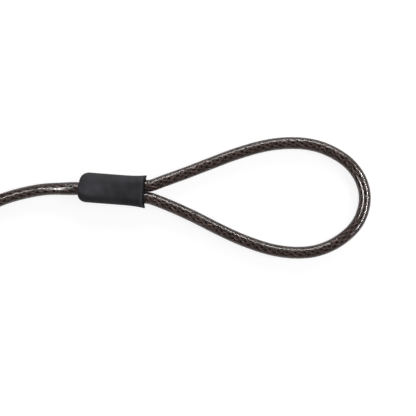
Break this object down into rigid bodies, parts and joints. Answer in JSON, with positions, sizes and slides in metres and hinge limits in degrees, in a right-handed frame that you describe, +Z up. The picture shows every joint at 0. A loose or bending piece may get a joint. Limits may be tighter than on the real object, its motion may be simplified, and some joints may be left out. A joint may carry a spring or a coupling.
{
  "type": "cable lock",
  "caption": "Cable lock: jacketed braided steel cable with a sleeved, crimped eye at one end and a keyed T-shaped lock head with a side jaw at the other.",
  "frame": {"origin": "middle of the lock head's flat underside, on the surface that the lock lies on", "axes": "+Z up, +X from the lock head towards the eye, -Y along the head's barrel from the key to the jaw"},
  "size_m": [0.5036, 0.1482, 0.0301],
  "materials": {
    "cover_plastic": "fine grained, satin",
    "bow_plastic": "moulded, satin",
    "black_rubber": "matte, lightly scuffed",
    "cable_jacket": "smoke-tinted clear plastic over braided steel",
    "cast_zinc": "die cast, satin plated",
    "steel": "ground steel",
    "brass": "machined",
    "nickel": "nickel plated",
    "aluminium": "pressed, satin"
  },
  "bodies": {
    "lock": {"lock_body": "cast_zinc", "cover_lower": "cover_plastic", "cover_upper": "cover_plastic", "cover_screw_1": "steel", "cover_screw_2": "steel", "cover_screw_3": "steel", "cover_screw_4": "steel", "key_collar": "nickel", "bolt_bush": "brass", "detent_ball": "steel", "detent_spring": "steel", "detent_screw": "steel", "cable_anchor": "steel", "anchored_core": "steel", "anchor_screw": "steel", "strain_relief": "black_rubber", "eye_sleeve": "black_rubber", "crimp_ferrule": "aluminium", "core_lead": "steel", "core_return": "steel", "cable_eye": "cable_jacket", "cable_tail": "cable_jacket", "cable_coil": "cable_jacket", "cable_lead": "cable_jacket"},
    "plug": {"drum": "brass", "guard_disc": "steel", "disc_1": "brass", "disc_2": "brass", "disc_3": "brass", "disc_4": "brass", "disc_5": "brass", "disc_6": "brass", "spacer_1": "steel", "spacer_2": "steel", "spacer_3": "steel", "spacer_4": "steel", "spacer_5": "steel", "side_bar": "steel", "drive_sleeve": "steel"},
    "bolt": {"bolt": "steel", "drive_pin": "steel"},
    "key": {"key_blade": "nickel", "key_bow": "bow_plastic"}
  },
  "joints": [
    {"name": "key_turn", "type": "hinge", "parent": "lock", "child": "plug", "pos_m": [0, 0, 0.015], "axis": [0, -1, 0], "range_deg": [0, 180]},
    {"name": "bolt_slide", "type": "slide", "parent": "lock", "child": "bolt", "axis": [0, 1, 0], "range_m": [0, 0.016]},
    {"name": "key_slide", "type": "slide", "parent": "plug", "child": "key", "axis": [0, 1, 0], "range_m": [0, 0.028]}
  ],
  "couplings": [
    {"joint": "bolt_slide", "follows": "key_turn", "m_per_rad": 0.0050929}
  ]
}
